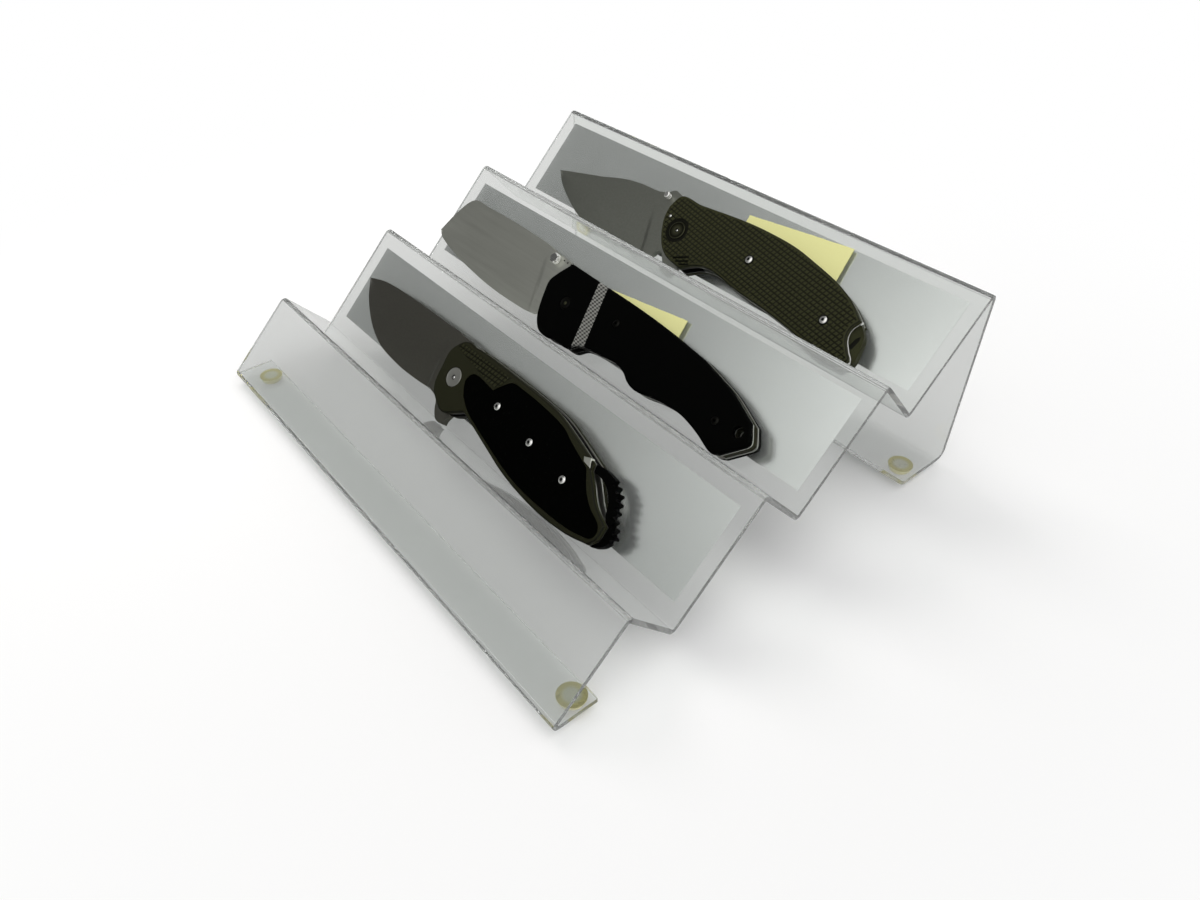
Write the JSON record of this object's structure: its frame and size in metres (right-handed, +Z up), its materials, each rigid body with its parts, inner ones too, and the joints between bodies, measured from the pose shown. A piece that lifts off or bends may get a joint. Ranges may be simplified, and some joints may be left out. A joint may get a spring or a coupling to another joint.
{
  "type": "stepped knife display stand",
  "caption": "Clear bent-sheet counter stand in stair-step tiers, each tier holding an open folding knife against a silver backing card",
  "frame": {"origin": "on the table under the middle of the stand's footprint, level with the bottoms of the feet", "axes": "+X runs along the tiers to the viewer's right, +Y points from the low front to the high back, +Z is up"},
  "size_m": [0.305, 0.2574, 0.1011],
  "materials": {
    "clear_sheet": "clear acrylic with a faint grey-green tint and polished edges",
    "bumper": "soft clear rubber, yellowed with age",
    "card": "satin silver card",
    "pad": "pale yellow paper pad",
    "dark_blade": "dark grey stone-washed steel",
    "satin_blade": "satin bead-blasted steel",
    "grey_blade": "grey stone-washed steel",
    "olive_scale": "olive-drab glass-filled nylon with a checkered grip",
    "black_scale": "black fibre laminate",
    "black_inlay": "black textured grip panel",
    "woven_band": "grey woven-fibre strip",
    "liner": "plain ground steel",
    "spacer": "dark moulded spacer",
    "hardware": "bright turned steel",
    "dark_hardware": "black oxide steel",
    "washer": "bronze sliding washer"
  },
  "bodies": {
    "stand": {"backing_card_1": "card", "backing_card_2": "card", "backing_card_3": "card", "display_stand": "clear_sheet", "foot_back_left": "bumper", "foot_back_right": "bumper", "foot_front_left": "bumper", "foot_front_right": "bumper", "mounting_pad_1": "pad", "mounting_pad_2": "pad", "mounting_pad_3": "pad"},
    "knife_1": {"knife_1_back_spacer": "spacer", "knife_1_body_screw_1": "hardware", "knife_1_body_screw_2": "hardware", "knife_1_body_screw_3": "hardware", "knife_1_front_liner": "liner", "knife_1_front_scale": "olive_scale", "knife_1_front_washer": "washer", "knife_1_handle_inlay": "black_inlay", "knife_1_pivot": "hardware", "knife_1_rear_liner": "liner", "knife_1_rear_scale": "olive_scale", "knife_1_rear_washer": "washer", "knife_1_stop_pin": "hardware"},
    "knife_1_blade": {"knife_1_blade": "dark_blade"},
    "knife_2": {"knife_2_back_spacer": "spacer", "knife_2_body_screw_1": "dark_hardware", "knife_2_body_screw_2": "dark_hardware", "knife_2_front_liner": "liner", "knife_2_front_scale": "black_scale", "knife_2_front_washer": "washer", "knife_2_handle_band": "woven_band", "knife_2_pivot": "dark_hardware", "knife_2_rear_liner": "liner", "knife_2_rear_scale": "black_scale", "knife_2_rear_washer": "washer", "knife_2_stop_pin": "hardware"},
    "knife_2_blade": {"knife_2_blade": "satin_blade", "knife_2_thumb_stud": "hardware"},
    "knife_3": {"knife_3_back_spacer": "spacer", "knife_3_body_screw_1": "hardware", "knife_3_body_screw_2": "hardware", "knife_3_front_liner": "liner", "knife_3_front_scale": "olive_scale", "knife_3_front_washer": "washer", "knife_3_pivot": "hardware", "knife_3_rear_liner": "liner", "knife_3_rear_scale": "olive_scale", "knife_3_rear_washer": "washer", "knife_3_stop_pin": "hardware"},
    "knife_3_blade": {"knife_3_blade": "grey_blade", "knife_3_thumb_stud": "hardware"}
  },
  "joints": [
    {"name": "knife_1_lift_off", "type": "slide", "parent": "stand", "child": "knife_1", "axis": [0, 0, 1], "range_m": [0, 0.39]},
    {"name": "knife_1_blade_fold", "type": "hinge", "parent": "knife_1", "child": "knife_1_blade", "pos_m": [-0.0221, -0.05319, 0.03929], "axis": [0, -0.7009, 0.7133], "range_deg": [0, 178]},
    {"name": "knife_2_lift_off", "type": "slide", "parent": "stand", "child": "knife_2", "axis": [0, 0, 1], "range_m": [0, 0.39]},
    {"name": "knife_2_blade_fold", "type": "hinge", "parent": "knife_2", "child": "knife_2_blade", "pos_m": [-0.0191, 0.01733, 0.05719], "axis": [0, -0.7009, 0.7133], "range_deg": [0, 176]},
    {"name": "knife_3_lift_off", "type": "slide", "parent": "stand", "child": "knife_3", "axis": [0, 0, 1], "range_m": [0, 0.39]},
    {"name": "knife_3_blade_fold", "type": "hinge", "parent": "knife_3", "child": "knife_3_blade", "pos_m": [-0.0122, 0.09114, 0.07831], "axis": [0, -0.7009, 0.7133], "range_deg": [0, 172]}
  ],
  "couplings": [
    {"joint": "knife_1_blade_fold", "follows": "knife_1_lift_off", "rad_per_m": 7.96},
    {"joint": "knife_2_blade_fold", "follows": "knife_2_lift_off", "rad_per_m": 7.87},
    {"joint": "knife_3_blade_fold", "follows": "knife_3_lift_off", "rad_per_m": 7.69}
  ]
}
